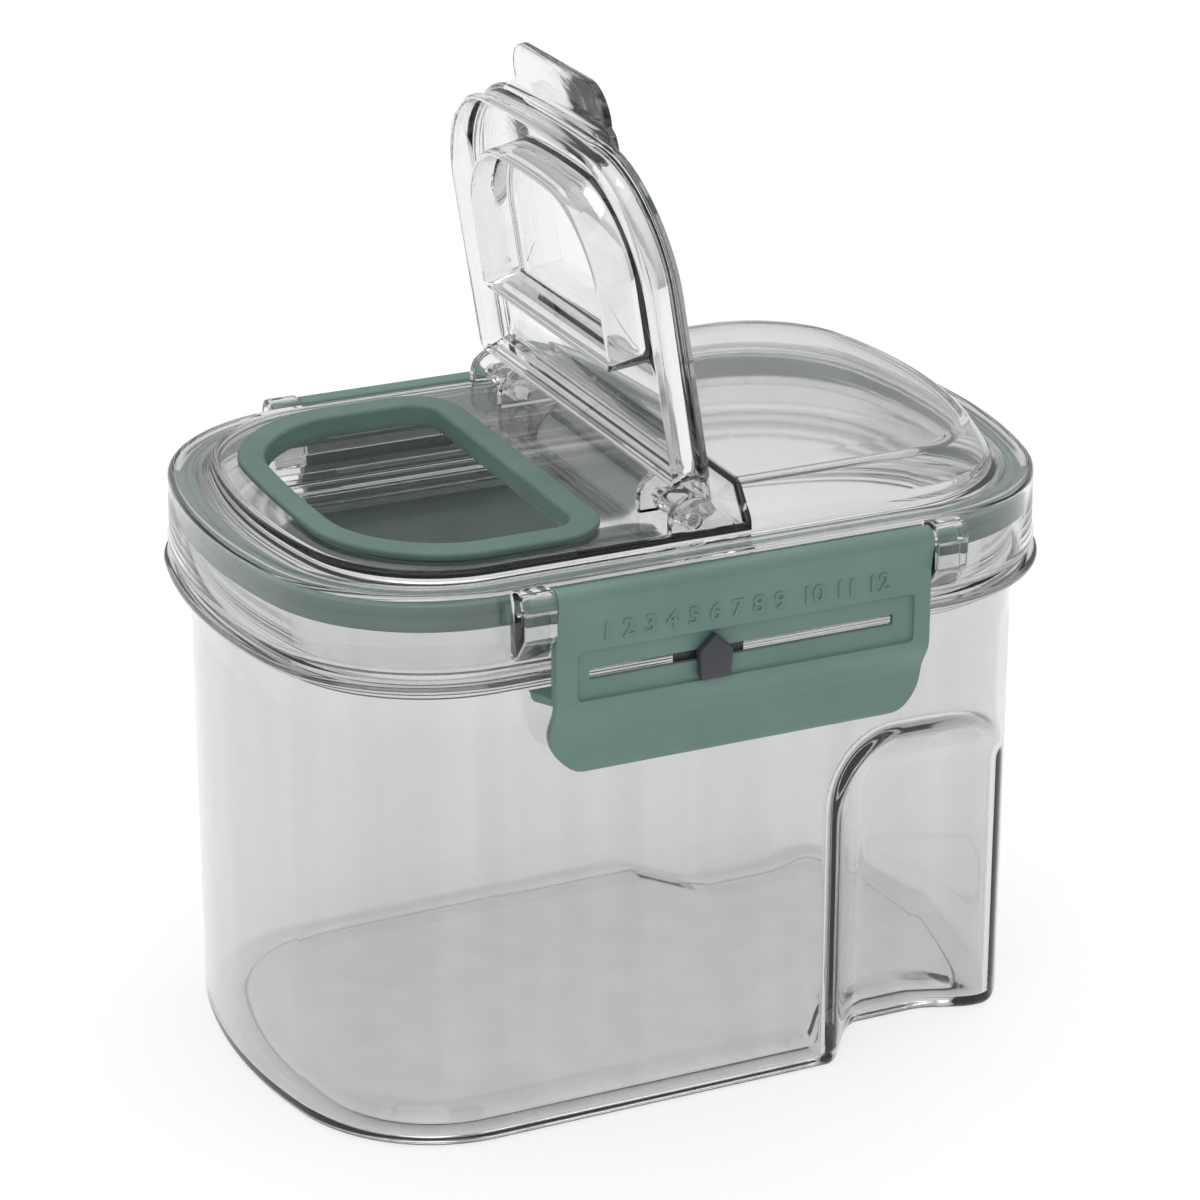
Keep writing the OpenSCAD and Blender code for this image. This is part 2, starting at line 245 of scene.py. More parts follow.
def smooth_step(t):
    """Eases from 0 to 1 as t goes from 0 to 1."""
    t = np.clip(t, 0, 1)
    return t * t * (3 - 2 * t)


DEE_BOW, DEE_CORNER_IN, DEE_BOW_REACH = 2.7, 1.5, 1.2


def dee(x0, x1, hw, r0, r1, inset=0.0, n=14, side=10):
    """Outline with big corners and a bowed end at x0 and small corners at x1, moved in by inset."""
    x0, x1, hw = x0 + inset, x1 - inset, hw - inset
    r0, r1 = max(r0 - inset, 0.4), max(r1 - inset, 0.4)
    pts = arc(x1 - r1, hw - r1, r1, 0, 90, n)
    pts += [(x1 - r1 + (x0 + r0 - x1 + r1) * f, hw) for f in np.linspace(0, 1, side)[1:-1]]
    pts += arc(x0 + r0, hw - r0, r0, 90, 180, n)
    pts += [(x0, (hw - r0) * (1 - 2 * f)) for f in np.linspace(0, 1, side)[1:-1]]
    pts += arc(x0 + r0, -(hw - r0), r0, 180, 270, n)
    pts += [(x0 + r0 + (x1 - r1 - x0 - r0) * f, -hw) for f in np.linspace(0, 1, side)[1:-1]]
    pts += arc(x1 - r1, -(hw - r1), r1, 270, 360, n)
    pts += [(x1, -(hw - r1) * (1 - 2 * f)) for f in np.linspace(0, 1, side)[1:-1]]
    pts = np.array(pts)
    reach = DEE_BOW_REACH * r0
    near = smooth_step((x0 + reach - pts[:, 0]) / reach)
    pts[:, 0] += near * (DEE_CORNER_IN - DEE_BOW * (1 - (pts[:, 1] / hw) ** 2))
    return pts


def lift(outline, z):
    """An outline as a ring at height z."""
    return np.column_stack([outline, np.full(len(outline), z)])


# ---------------------------------------------------------------- materials


def node_material(name):
    """A new material, with its nodes, links, shader and output."""
    mat = bpy.data.materials.new(name)
    mat.use_nodes = True
    nodes, links = mat.node_tree.nodes, mat.node_tree.links
    shader = nodes["Principled BSDF"]
    return mat, nodes, links, shader, nodes["Material Output"]


def noise(nodes, links, scale, detail, coords):
    """A noise texture in the object's own space."""
    tex = nodes.new("ShaderNodeTexNoise")
    tex.inputs["Scale"].default_value = scale
    tex.inputs["Detail"].default_value = detail
    links.new(coords.outputs["Object"], tex.inputs["Vector"])
    return tex


def spread(nodes, links, source, low, high):
    """Maps the middle of a noise to low..high."""
    node = nodes.new("ShaderNodeMapRange")
    node.inputs["From Min"].default_value = 0.3
    node.inputs["From Max"].default_value = 0.7
    node.inputs["To Min"].default_value = low
    node.inputs["To Max"].default_value = high
    links.new(source, node.inputs["Value"])
    return node.outputs["Result"]


def clear_plastic(name, tint, highlight_streak, soak, rough_low, rough_high):
    """Moulded clear plastic that greys with thickness, with upright streaks of painted highlight in its tint
    and fine scuffs.
    """
    mat, nodes, links, shader, output = node_material(name)
    coords = nodes.new("ShaderNodeTexCoord")
    stretch = nodes.new("ShaderNodeMapping")
    stretch.inputs["Scale"].default_value = (1, 1, 0.03)
    links.new(coords.outputs["Object"], stretch.inputs["Vector"])
    # Painted highlight: upright lighter and darker streaks in the base colour stand in for the vertical
    # highlights on the walls.
    highlight_noise = nodes.new("ShaderNodeTexNoise")
    highlight_noise.inputs["Scale"].default_value = 95
    highlight_noise.inputs["Detail"].default_value = 2
    links.new(stretch.outputs["Vector"], highlight_noise.inputs["Vector"])
    shade = nodes.new("ShaderNodeMix")
    shade.data_type = "RGBA"
    shade.inputs["A"].default_value = (tint - highlight_streak, tint - highlight_streak, tint - highlight_streak, 1)
    shade.inputs["B"].default_value = (tint + highlight_streak, tint + highlight_streak, tint + highlight_streak, 1)
    links.new(spread(nodes, links, highlight_noise.outputs["Fac"], 0, 1), shade.inputs["Factor"])
    links.new(shade.outputs["Result"], shader.inputs["Base Color"])
    shader.inputs["Transmission Weight"].default_value = 1.0
    shader.inputs["IOR"].default_value = 1.5
    scuff = noise(nodes, links, 900, 3, coords)
    links.new(spread(nodes, links, scuff.outputs["Fac"], rough_low, rough_high), shader.inputs["Roughness"])
    flow = noise(nodes, links, 38, 2, coords)
    bump = nodes.new("ShaderNodeBump")
    bump.inputs["Strength"].default_value = 0.06
    bump.inputs["Distance"].default_value = 0.0006
    links.new(flow.outputs["Fac"], bump.inputs["Height"])
    links.new(bump.outputs["Normal"], shader.inputs["Normal"])
    depth = nodes.new("ShaderNodeVolumeAbsorption")
    depth.inputs["Color"].default_value = (0.5, 0.503, 0.512, 1)
    depth.inputs["Density"].default_value = soak
    links.new(depth.outputs["Volume"], output.inputs["Volume"])
    path = nodes.new("ShaderNodeLightPath")
    veil = nodes.new("ShaderNodeBsdfTransparent")
    veil.inputs["Color"].default_value = (0.97, 0.97, 0.97, 1)
    mix = nodes.new("ShaderNodeMixShader")
    links.new(path.outputs["Is Shadow Ray"], mix.inputs["Fac"])
    links.new(shader.outputs["BSDF"], mix.inputs[1])
    links.new(veil.outputs["BSDF"], mix.inputs[2])
    links.new(mix.outputs["Shader"], output.inputs["Surface"])
    return mat


def solid_plastic(name, colour, rough_low, rough_high, grain, depth):
    """Opaque moulded plastic or silicone: faint cloudiness, satin grain."""
    mat, nodes, links, shader, output = node_material(name)
    coords = nodes.new("ShaderNodeTexCoord")
    cloud = noise(nodes, links, 60, 4, coords)
    ramp = nodes.new("ShaderNodeMix")
    ramp.data_type = "RGBA"
    ramp.inputs["A"].default_value = (*[c * 0.92 for c in colour], 1)
    ramp.inputs["B"].default_value = (*[min(c * 1.08, 1) for c in colour], 1)
    links.new(spread(nodes, links, cloud.outputs["Fac"], 0, 1), ramp.inputs["Factor"])
    links.new(ramp.outputs["Result"], shader.inputs["Base Color"])
    fine = noise(nodes, links, grain, 2, coords)
    links.new(spread(nodes, links, fine.outputs["Fac"], rough_low, rough_high), shader.inputs["Roughness"])
    bump = nodes.new("ShaderNodeBump")
    bump.inputs["Strength"].default_value = 0.25
    bump.inputs["Distance"].default_value = depth
    links.new(fine.outputs["Fac"], bump.inputs["Height"])
    links.new(bump.outputs["Normal"], shader.inputs["Normal"])
    return mat


# The tub's tint carries painted highlight streaks of 0.03 either way, the lid's of 0.01.
CLEAR = clear_plastic("clear plastic", 0.82, 0.03, 50.0, 0.02, 0.05)
LID_CLEAR = clear_plastic("lid plastic", 0.9, 0.01, 20.0, 0.02, 0.05)
GREEN = solid_plastic("green plastic", (0.116, 0.204, 0.178), 0.34, 0.46, 2600, 0.00004)
SEAL = solid_plastic("green silicone", (0.098, 0.172, 0.148), 0.48, 0.6, 1800, 0.00004)
DARK = solid_plastic("dark plastic", (0.034, 0.037, 0.043), 0.34, 0.46, 2600, 0.00004)


def place(obj, material, body, slot, *replaced):
    """Gives a finished piece its material and its body, and hides the nodes it stands for. slot is not used.
    """
    obj.data.materials.clear()
    obj.data.materials.append(material)
    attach(obj, body)
    if replaced:
        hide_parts(*replaced)
    return obj


# ---------------------------------------------------------------- container

GRIP_X = 28.0
GRIP_H = 74.0
GRIP_DEPTH = 14.2
GRIP_ARCH = (16.0, 18.0)
GRIP_EASE = (14.0, 15.0)
BASE_FILLET = 2.4
FOOT_IN = 9.0
KICK_UP = 0.9
CENTRE_IN = 16


def soft_min(a, b, k):
    """The smaller of two values, with a rounded change over k."""
    h = np.clip(0.5 + 0.5 * (b - a) / k, 0, 1)
    return b + (a - b) * h - k * h * (1 - h)


def grip_share(x, z):
    """How deep the finger recess is at a place on the side, from 0 to 1."""
    u = np.minimum((x - GRIP_X) / GRIP_ARCH[0] - 1, 0)
    v = np.minimum((GRIP_H - z) / GRIP_ARCH[1] - 1, 0)
    reach = np.clip(1 - np.hypot(u, v), 0, 1)
    across, down = GRIP_EASE[0] / GRIP_ARCH[0], GRIP_EASE[1] / GRIP_ARCH[1]
    ease = (u * u * across + v * v * down) / (u * u + v * v + 1e-9)
    t = np.clip(reach / np.maximum(ease, 0.5), 0, 1)
    return 0.55 * smooth_step(t) + 0.45 * t * (2 - t)


def waist(x):
    """Half width at the bottom of the recess along the length."""
    deep = BODY_HW - GRIP_DEPTH
    return deep + 3.8 * smooth_step((x - 55) / 14)


def body_ring(plan, r, z, side=0.0):
    """A ring of the tub's wall. side is how far the surface lies inside the outer face."""
    ring = ring_at(plan, r, z)
    x, y = ring[:, 0], ring[:, 1]
    share = grip_share(x + side, np.full(len(x), z - side if side <= WALL else z - WALL))
    pinch = BODY_R - r
    limit = BODY_HW - pinch + 0.5
    squeezed = limit + (waist(x) - pinch - limit) * share
    flat = soft_min(np.abs(y), squeezed, 1.6)
    ring[:, 1] = np.where(x > 0, np.sign(y) * np.where(share > 0, np.minimum(flat, np.abs(y)), np.abs(y)), y)
    return ring


def container():
    """The tub as one closed shell: outer wall, flange, mouth, inner wall and floor."""
    plan = rounded_frame(END_X, CORE_Y, **TUB_STEPS)
    rings = []

    def add(r, z, side=0.0):
        rings.append(body_ring(plan, r, z, side))

    add(BODY_R - CENTRE_IN, KICK_UP)
    add(BODY_R - FOOT_IN - 1.2, KICK_UP)
    add(BODY_R - FOOT_IN - 0.4, 0.6)
    add(BODY_R - FOOT_IN, 0.0)
    for x, z in arc(BODY_R - BASE_FILLET, BASE_FILLET, BASE_FILLET, -90, 0, 9):
        add(x, z)
    for z in np.linspace(BASE_FILLET, 80, 64)[1:]:
        add(BODY_R, z)
    add(BODY_R, 90)
    add(BODY_R, 98.4)
    add(BODY_R + 0.3, 99)
    add(BODY_R + 1.1, 99.4)
    add(BODY_R + 1.1, 100.6)
    add(BODY_R + 1.7, FLANGE_Z)
    edge = 0.9
    add(FLANGE_R - 1.6, FLANGE_Z)
    for x, z in arc(FLANGE_R - edge, FLANGE_Z + edge + 0.1, edge, -90, 90, 9):
        add(x, z)
    add(FLANGE_R - 1.9, FLANGE_Z + 2.0)
    add(FLANGE_R - 2.1, FLANGE_Z + 2.6)
    add(BODY_R + 1.4, FLANGE_Z + 2.6)
    add(BODY_R + 0.5, FLANGE_Z + 3.0)
    add(BODY_R, FLANGE_Z + 4.0)
    lip = WALL / 2
    add(BODY_R, MOUTH_Z - lip)
    for x, z in arc(BODY_R - lip, MOUTH_Z - lip, lip, 0, 180, 9)[1:]:
        add(x, z, BODY_R - x)
    inner = BODY_R - WALL
    add(inner, 98, WALL)
    add(inner, 90, WALL)
    for z in np.linspace(82, FLOOR + BASE_FILLET - WALL, 64):
        add(inner, z, WALL)
    fillet = BASE_FILLET - WALL
    for x, z in arc(inner - fillet, FLOOR + fillet, fillet, 0, -90, 8)[1:]:
        add(x, z, WALL)
    add(BODY_R - FOOT_IN, FLOOR, WALL)
    add(BODY_R - FOOT_IN - 1.0, FLOOR + KICK_UP, WALL)
    add(BODY_R - CENTRE_IN, FLOOR + KICK_UP, WALL)
    return skin("container_wall", rings, smooth=50)


place(container(), CLEAR, "root", "clear_shell", "container_body")


# ---------------------------------------------------------------- lid

LID_T = 2.0
HOLE = dict(x0=-65.6, x1=-22.6, hw=39.0, r0=22.0, r1=6.0)
NECK_T = 1.5
NECK_GAP = 0.3
EAR_R = 5.0
EARS_Y = ((33.0, 35.5), (47.8, 50.3))
PIN_R = 1.6
PIN_GAP = 0.08
clamp_y, clamp_z = (np.array(JOINTS["front_clamp_hinge"]["pos_m"]) / MM)[1:]
LATCH_X0, LATCH_X1 = -38.5, 43.0
LUG_W = 7.0
LUG_Z0 = 106.4
LUG_IN, LUG_R = -57.6, 3.2
LUG_GAP = 0.35


def lid_cap():
    """Skirt, rim and raised plate as one closed shell."""
    outer = rounded_frame(END_X, CORE_Y, **PLAN_STEPS)
    inner = rounded_frame(PLATE_END_X, PLATE_CY, **PLAN_STEPS)
    rings = []

    def rim(r, z):
        rings.append(ring_at(outer, r, z))

    def top(r, z):
        rings.append(ring_at(inner, r, z))

    under = PLATE_Z - LID_T
    top(20, under)
    top(27.4, under)
    top(27.6, under - 0.4)
    top(27.6, RIM_Z - 1.6)
    rib = BODY_R - WALL - 1.0
    rim(rib - 0.7, RIM_Z - 1.6)
    rim(rib - 0.7, MOUTH_Z - 2.4)
    for r, z in arc(rib, MOUTH_Z - 2.4, 0.7, 180, 360, 7)[1:]:
        rim(r, z)
    rim(rib + 0.7, RIM_Z - 1.6)
    wall_in = SKIRT_R - LID_T
    rim(wall_in, RIM_Z - 1.6)
    rim(wall_in, SKIRT_Z + 1.2)
    rim(wall_in + 0.4, SKIRT_Z + 0.2)
    rim(wall_in + 0.8, SKIRT_Z)
    rim(SKIRT_R - 0.9, SKIRT_Z)
    for r, z in arc(SKIRT_R - 0.9, SKIRT_Z + 0.9, 0.9, -90, 0, 6)[1:]:
        rim(r, z)
    rim(SKIRT_R, SKIRT_Z + 1.9)
    rim(SKIRT_R - 0.35, SKIRT_Z + 2.5)
    rim(SKIRT_R - 0.5, RIM_Z - 2.6)
    for r, z in arc(SKIRT_R - 2.0, RIM_Z - 1.5, 1.5, 0, 90, 8):
        rim(r, z)
    rim(SKIRT_R - 3.1, RIM_Z)
    rim(SKIRT_R - 3.7, RIM_Z - 0.3)
    rim(SKIRT_R - 5.5, RIM_Z - 0.3)
    top(PLATE_R + 0.5, RIM_Z - 0.1)
    top(PLATE_R, RIM_Z + 0.5)
    bead = 0.55
    top(PLATE_R, PLATE_Z)
    for r, z in arc(PLATE_R - bead, PLATE_Z, bead, 0, 180, 9)[1:]:
        top(r, z)
    top(PLATE_R - 2 * bead - 0.2, PLATE_Z - 0.15)
    top(PLATE_R - 2.2, PLATE_Z)
    top(18, PLATE_Z)
    return skin("lid_body", rings, smooth=50)


def dome_solid(drop, x0, z0):
    """Solid under the dome's skin, moved in by drop and cut off at x0."""
    plan = rounded_frame(PLATE_END_X, PLATE_CY, **PLAN_STEPS)
    side = PLATE_R - drop
    top = DOME_Z - drop
    curve = DOME_CURVE - drop * 0.4
    rings = [ring_at(plan, 16, z0), ring_at(plan, side, z0), ring_at(plan, side, PLATE_Z + 0.4)]
    rings.append(ring_at(plan, side - DOME_EASE, PLATE_Z + 0.9))
    shoulder = side - DOME_SHOULDER
    tilt = math.degrees(math.atan2(top - curve - PLATE_Z - 0.9, DOME_SHOULDER - DOME_EASE))
    for r, z in arc(shoulder - curve * 0.9, top - curve, curve, 90 - tilt, 90, 9):
        rings.append(ring_at(plan, r, z))
    rings.append(ring_at(plan, 16, top))
    dome = skin("dome", rings, smooth=50)
    block = prism("block", [(x0, -70), (90, -70), (90, 70), (x0, 70)], z0 - 5, top + 5)
    return combine(dome, block, "INTERSECT")


def hinge_ear(y0, y1):
    """One ear of the flap's hinge, with the hole for its pin."""
    hx, hz = hinge[0], hinge[2]
    outline = [(hx - EAR_R, PLATE_Z - 0.8), (hx + 9, PLATE_Z - 0.8), (hx + 9, PLATE_Z + 0.6)]
    outline += arc(hx, hz, EAR_R, 24, 180, 16)
    ear = soften(prism("ear", outline, y0, y1, "y"), 0.45, 3, 50)
    bore = prism("bore", arc(hx, hz, PIN_R + PIN_GAP, 0, 350, 36), y0 - 1, y1 + 1, "y")
    return combine(ear, bore, "DIFFERENCE")


def latch_lug(x0, outer, back=False):
    """A lug for a latch pin, whose lower corner on the outer side is cut off."""
    y, z = clamp_y, clamp_z
    outline = [(LUG_IN, RIM_Z - 0.4)]
    outline += arc(y, z, LUG_R, 75, 180, 10)
    outline += [(y - LUG_R, 113), (LUG_IN - 2.8, LUG_Z0 + 0.8), (LUG_IN, LUG_Z0)]
    lug = prism("lug", outline, x0, x0 + LUG_W, "x")
    face = [(-9, 9), (-9, 6), (LUG_W / 2 - 7, 0.4), (LUG_W / 2 - 2, 0), (9, 1.5), (9, 30), (-9, 30)]
    middle = x0 + LUG_W / 2
    front = prism("lug_face", [(middle - outer * u, LUG_Z0 + v) for u, v in face], y - 5, -50, "y")
    lug = soften(combine(lug, front, "INTERSECT", 25), 0.5, 2, 20)
    bore = prism("bore", arc(y, z, PIN_R + PIN_GAP, 0, 350, 36), x0 - 1, x0 + LUG_W + 1, "x")
    lug = combine(lug, bore, "DIFFERENCE")
    return transform(lug, Matrix.Rotation(math.pi, 4, "Z")) if back else lug


def lid():
    """The lid in one piece: cap, pouring hole, dome, hinge ears and latch lugs."""
    shell = lid_cap()
    cut = NECK_T + NECK_GAP
    r0, r1 = HOLE["r0"] + NECK_T, HOLE["r1"] + NECK_T
    gap = dee(HOLE["x0"] - cut, HOLE["x1"] + cut, HOLE["hw"] + cut, r0, r1)
    combine(shell, prism("gap", [tuple(q) for q in gap], 100, 130), "DIFFERENCE")
    outer = soften(dome_solid(0.0, DOME_X, PLATE_Z - LID_T + 0.3), 1.0, 3, 60)
    combine(shell, outer, "UNION")
    combine(shell, dome_solid(LID_T, DOME_X + LID_T, PLATE_Z - LID_T - 2), "DIFFERENCE")
    for y0, y1 in EARS_Y:
        combine(shell, hinge_ear(y0, y1), "UNION")
        combine(shell, hinge_ear(-y1, -y0), "UNION")
    for back in (False, True):
        combine(shell, latch_lug(LATCH_X0 - LUG_GAP - LUG_W, -1, back), "UNION")
        combine(shell, latch_lug(LATCH_X1 + LUG_GAP, 1, back), "UNION")
    return tidy_mesh(shell, 50)


place(lid(), LID_CLEAR, "root", "clear_shell", "lid_shell")


# ---------------------------------------------------------------- seals


def gasket():
    """The seal's ring, with the lip that hangs over the tub's wall."""
    plan = rounded_frame(END_X, CORE_Y, **PLAN_STEPS)
    r0, r1 = BODY_R - WALL - 0.2, SKIRT_R - LID_T - 0.12
    z0, z1 = gasket_lo[2], gasket_hi[2]
    lip = BODY_R + 0.3
    profile = [(r0, MOUTH_Z), (lip - 0.4, MOUTH_Z), (lip, MOUTH_Z - 0.4), (lip, z0 + 0.3), (lip + 0.3, z0)]
    profile += arc(r1 - 0.5, z0 + 0.5, 0.5, -90, 0, 4)
    profile += [(r1, z0 + 2.3), (r1 - 0.25, z0 + 2.7), (r1 - 0.25, z0 + 3.1), (r1, z0 + 3.5)]
    profile += arc(r1 - 0.5, z1 - 1.1, 0.5, 0, 90, 4)
    profile += [(r0 + 3.2, z1 - 0.6), (r0 + 3.0, z1), (r0 + 0.9, z1), (r0 + 0.7, z1 - 0.6), (r0, z1 - 0.6)]
    return skin("gasket", [ring_at(plan, r, z) for r, z in profile], closed=True, smooth=35)


def pouring_frame():
    """The frame of the pouring hole: flange, bore and the lip that holds it."""
    x0, x1, hw = ring_lo[0], ring_hi[0], ring_hi[1]
    z0, z1 = PLATE_Z, ring_hi[2]
    foot = ring_lo[2]
    lip = foot + 0.6

    def flange(inset, z):
        return lift(dee(x0, x1, hw, 27, 12, inset), z)

    def bore(inset, z):
        return lift(dee(inset=inset, **HOLE), z)

    rings = [flange(0.5, z0), flange(0.0, z0 + 0.5)]
    for d, z in arc(0.6, z1 - 0.6, 0.6, 180, 90, 6):
        rings.append(flange(d, z))
    rings.append(flange(2.0, z1))
    rings.append(bore(-1.6, z1))
    for d, z in arc(-0.9, z1 - 0.9, 0.9, 90, 0, 7)[1:]:
        rings.append(bore(d, z))
    rings += [bore(0.25, foot + 1.8), bore(0.25, foot + 0.4), bore(-0.15, foot)]
    rings += [bore(-NECK_T - 0.8, foot), bore(-NECK_T - 1.2, foot + 0.3), bore(-NECK_T - 1.2, lip)]
    rings += [bore(-NECK_T, lip), bore(-NECK_T, z0)]
    return skin("pouring_frame", rings, closed=True, smooth=50)


place(gasket(), SEAL, "root", "green_seal", "lid_gasket")
place(pouring_frame(), SEAL, "root", "green_seal", "opening_frame")


# ---------------------------------------------------------------- pouring flap

FLAP_X0, FLAP_X1, FLAP_HW = -73.0, -8.6, 48.7
FLAP_T = 7.7
FLAP_PLATE = 1.8
FLAP_TOP = PLATE_Z + 0.35 + FLAP_T
FLAP_R = 25.0
PLUG = dict(x0=-64.2, x1=-29.5, hw=32.0, r0=19.0, r1=2.5)
PLUG_Z = 120.2
TAB_OUT, TAB_HW, TAB_R = 11.0, 26.0, 7.0
TAB_RISE = 1.4
KNUCKLE_Y = (35.8, 47.5)
BARREL_R = 2.3
ARM_LEAD = 1.0


def flap_shell():
    """Plate, rim, inner bead and plug of the flap as one closed shell, in its closed place."""
    rings = []
    under = FLAP_TOP - FLAP_PLATE
    foot = FLAP_TOP - FLAP_T

    def edge(inset, z):
        rings.append(lift(dee(FLAP_X0, FLAP_X1, FLAP_HW, FLAP_R, 3, inset), z))

    def plug(inset, z):
        rings.append(lift(dee(inset=inset, **PLUG), z))

    edge(18, FLAP_TOP)
    edge(2.4, FLAP_TOP)
    edge(2.0, FLAP_TOP - 0.12)
    edge(1.6, FLAP_TOP)
    for d, z in arc(0.8, FLAP_TOP - 0.8, 0.8, 90, 180, 6):
        edge(d, z)
    edge(0.0, under + 0.3)
    edge(0.3, under)
    edge(1.0, under - 0.3)
    edge(1.2, under - 0.8)
    edge(1.2, foot + 1.8)
    edge(0.7, foot + 1.4)
    edge(0.7, foot + 0.5)
    edge(1.1, foot)
    edge(1.6, foot)
    edge(1.8, foot + 0.4)
    edge(2.9, under - 0.6)
    edge(3.5, under)
    plug(-0.6, under)
    plug(0.0, under - 0.6)
    plug(0.3, PLUG_Z + 0.7)
    for d, z in arc(1.0, PLUG_Z + 0.7, 0.7, 180, 360, 7)[1:]:
        plug(d, z)
    plug(1.9, under - 1.0)
    plug(2.6, under)
    plug(12, under)
    return skin("flap_body", rings, smooth=50)


def flap_tab():
    """Finger tab that rises a little past the flap's edge."""
    tip, out, r, side = FLAP_X0, FLAP_X0 - TAB_OUT, TAB_R, TAB_HW - 4
    plan = [(tip + 5, TAB_HW), (tip + 0.5, TAB_HW), (tip - 1.6, side + 1.4)]
    plan += arc(out + r, side - r, r, 78, 180, 12)
    plan += arc(out + r, r - side, r, 180, 282, 12)
    plan += [(tip - 1.6, -side - 1.4), (tip + 0.5, -TAB_HW), (tip + 5, -TAB_HW)]
    top, rise = FLAP_TOP, TAB_RISE
    side_view = [(tip + 5, top - FLAP_PLATE + 0.05), (tip + 5, top - 0.03), (tip + 1.6, top - 0.03)]
    side_view += [(tip + 0.2, top + 0.45 * rise), (tip - 1.4, top + 0.9 * rise), (tip - 3, top + rise)]
    side_view += [(out - 1, top + rise), (out - 1, top + rise - 1.7), (tip - 3, top + rise - 1.7)]
    side_view += [(tip - 1.4, top + 0.9 * rise - 1.7), (tip + 0.2, top + 0.45 * rise - 1.75)]
    side_view += [(tip + 1.6, top - FLAP_PLATE + 0.05)]
    tab = prism("tab", side_view, -TAB_HW - 1, TAB_HW + 1, "y")
    tab = combine(tab, prism("tab_plan", plan, top - 4, top + 4), "INTERSECT", 30)
    return soften(tab, 0.45, 3, 40)


def flap_knuckle(side):
    """One arm of the flap and its hinge pin. side is -1 or 1."""
    hx, hz = hinge[0], hinge[2]
    lead = hx + ARM_LEAD
    outline = arc(hx, hz, BARREL_R, 180, 384, 18)
    outline += [(lead, FLAP_TOP - 1.6)] + arc(lead - 1.5, FLAP_TOP - 1.5, 1.5, 0, 90, 6)
    under = FLAP_TOP - FLAP_PLATE
    outline += [(FLAP_X1 - 1, FLAP_TOP), (FLAP_X1 - 1, under), (hx - BARREL_R, under)]
    y0, y1 = sorted((side * KNUCKLE_Y[0], side * KNUCKLE_Y[1]))
    knuckle = soften(prism("knuckle", outline, y0, y1, "y"), 0.4, 3, 50)
    y0, y1 = sorted((side * (EARS_Y[0][0] + 0.3), side * (EARS_Y[1][1] - 0.3)))
    pin = soften(prism("pin", arc(hx, hz, PIN_R, 0, 352, 40), y0, y1, "y"), 0.3, 2, 50)
    return combine(knuckle, pin, "UNION")


def flap():
    """The flap in one piece, swung open about its hinge."""
    shell = flap_shell()
    combine(shell, flap_tab(), "UNION")
    for side in (-1, 1):
        combine(shell, flap_knuckle(side), "UNION")
    to_axis = Matrix.Translation(-Vector(hinge) * MM)
    swing = Matrix.Rotation(FLAP_OPEN, 4, "Y")
    transform(shell, to_axis.inverted() @ swing @ to_axis)
    return tidy_mesh(shell, 50)


place(flap(), LID_CLEAR, "flap", "clear_shell", "flip_cover")


# ---------------------------------------------------------------- latches and month markers

LATCH_Z0 = front_lo[2]
LATCH_OUT, LATCH_IN = -63.3, -60.5
LATCH_R = 9.0
LATCH_T = 2.1
BARREL = 2.7
NECK_IN = 3.3
NECK_TOP, NECK_LOW = 97.6, 89.0
LIP_FLARE = 0.9
PANEL = (-34.0, 39.3, 97.8, 108.0)
PANEL_CUT = 0.9
POCKET_CUT = 0.6
SLOT_X0, SLOT_X1 = -31.2, 35.0
SLOT_Z, SLOT_H = 102.9, 2.2
HOOK_Z0, HOOK_Z1, HOOK_Y, HOOK_SIDE = 96.6, 100.9, -56.0, 3.0
PIN_REACH = 5.0
MARKER_X = -5.0
MARKER_GAP = 0.1
SLOT_PLAY = 0.12
KNOB_T, NECK_HW = 2.4, 2.6
KEEPER_HW, KEEPER_HH, KEEPER_T = 7.6, 3.4, 0.5
DIGIT_SIZE, DIGIT_Z = 5.2, 111.6
DIGIT_X0, DIGIT_STEP, WIDE_STEP = -28.0, 4.66, 2.6


def neck_shift(z):
    """How far a latch's plate has moved in at height z: a neck, then a lip that flares out again."""
    neck = min(1, max(0, (NECK_TOP - z) / (NECK_TOP - NECK_LOW)))
    lip = max(0, (NECK_LOW - z) / (NECK_LOW - LATCH_Z0))
    return NECK_IN * (1 - math.cos(math.pi * neck)) / 2 - LIP_FLARE * lip ** 2


def latch_section():
    """Side outline of a latch: barrel, plate, hollow neck and flared finger lip."""
    heights = np.linspace(NECK_TOP, LATCH_Z0 + 0.9, 22)
    outline = [(LATCH_IN, NECK_TOP - 0.6), (LATCH_IN, clamp_z - 1.0)]
    outline += arc(clamp_y, clamp_z, BARREL, 40, 186, 14)
    outline += [(LATCH_OUT - 0.2, 114.5), (LATCH_OUT, 112.8)]
    outline += [(LATCH_OUT + neck_shift(z), z) for z in heights]
    end = LATCH_OUT + LATCH_T / 2 + neck_shift(heights[-1])
    outline += arc(end, heights[-1], LATCH_T / 2, 180, 360, 9)[1:-1]
    outline += [(LATCH_OUT + LATCH_T + neck_shift(z), z) for z in heights[:0:-1]]
    return outline


def latch_outline():
    """Front outline of a latch, wider than its plate at the top."""
    x0, x1, z0, r = LATCH_X0, LATCH_X1, LATCH_Z0 - 0.3, LATCH_R
    outline = [(x1, clamp_z + 6), (x0, clamp_z + 6)]
    outline += arc(x0 + r, z0 + r, r, 180, 270, 14)
    outline += arc(x1 - r, z0 + r, r, 270, 360, 14)
    return outline


